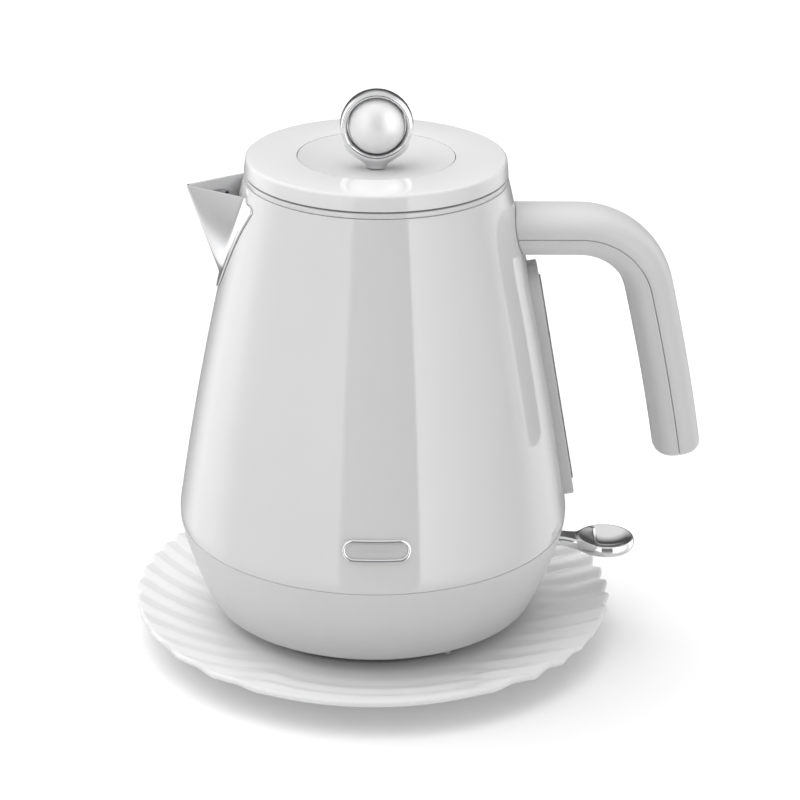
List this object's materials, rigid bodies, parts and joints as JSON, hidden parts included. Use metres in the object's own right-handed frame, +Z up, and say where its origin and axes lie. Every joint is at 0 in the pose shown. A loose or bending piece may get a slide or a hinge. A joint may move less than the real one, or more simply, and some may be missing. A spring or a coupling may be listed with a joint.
{
  "type": "electric jug kettle",
  "caption": "Cordless electric jug kettle with a V-shaped spout, lift-off lid, open loop handle and a rippled round power base.",
  "frame": {"origin": "on the kettle's axis, at the underside of the power base's centre foot", "axes": "+Z up along the kettle's axis, +X towards the handle, -Y towards the badge, so the spout points to -X"},
  "size_m": [0.2434, 0.206, 0.2424],
  "materials": {
    "gloss_paint": "gloss",
    "lid_gloss": "gloss",
    "satin_plastic": "satin",
    "grey_plastic": "satin",
    "black_plastic": "matte",
    "chrome_trim": "polished",
    "steel": "brushed",
    "cast_aluminium": "cast",
    "silicone": "matte",
    "brass_contact": "polished",
    "clear_window": "clear"
  },
  "bodies": {
    "power_base": {"base_plate": "satin_plastic", "base_deck": "satin_plastic", "base_cover": "satin_plastic", "base_feet": "silicone", "base_screws": "steel", "connector_post": "black_plastic", "post_contacts": "brass_contact", "cord_gland": "grey_plastic"},
    "swivel_ring": {"shutter_ring": "satin_plastic"},
    "kettle": {"body_shell": "gloss_paint", "spout": "chrome_trim", "filter_frame": "satin_plastic", "filter_mesh": "steel", "collar_ring": "lid_gloss", "badge_frame": "chrome_trim", "badge_plate": "satin_plastic", "handle_outer": "satin_plastic", "handle_inner": "satin_plastic", "handle_bracket": "steel", "handle_screws": "steel", "grip_screws": "steel", "gauge_housing": "satin_plastic", "gauge_window": "clear_window", "gauge_seal": "silicone", "bottom_housing": "satin_plastic", "bottom_cover": "satin_plastic", "cover_screws": "steel", "kettle_socket": "black_plastic", "kettle_contacts": "brass_contact", "heater_plate": "steel", "heater_element": "cast_aluminium", "heater_seal": "silicone", "bimetal_disc": "brass_contact", "control_body": "black_plastic", "steam_tube": "grey_plastic", "lever_pin": "steel"},
    "lid": {"lid_cover": "lid_gloss", "lid_disc": "satin_plastic", "lid_plug": "grey_plastic", "lid_seal": "silicone", "knob_ring": "chrome_trim", "knob_ball": "chrome_trim", "knob_screw": "steel"},
    "switch": {"switch_lever": "chrome_trim"},
    "trip": {"trip_lever": "grey_plastic"}
  },
  "joints": [
    {"name": "kettle_swivel", "type": "hinge", "parent": "power_base", "child": "swivel_ring", "pos_m": [0, 0, 0.0198], "axis": [0, 0, 1], "continuous": true},
    {"name": "kettle_lift", "type": "slide", "parent": "swivel_ring", "child": "kettle", "axis": [0, 0, 1], "range_m": [0, 0.06]},
    {"name": "lid_lift", "type": "slide", "parent": "kettle", "child": "lid", "axis": [0, 0, 1], "range_m": [0, 0.05]},
    {"name": "switch_press", "type": "hinge", "parent": "kettle", "child": "switch", "pos_m": [0.07, 0, 0.04], "axis": [0, 1, 0], "range_deg": [0, 10]},
    {"name": "control_trip", "type": "hinge", "parent": "kettle", "child": "trip", "pos_m": [0.038, 0, 0.0424], "axis": [0, 1, 0], "range_deg": [-10, 0]}
  ],
  "couplings": [
    {"joint": "control_trip", "follows": "switch_press", "ratio": -1}
  ]
}
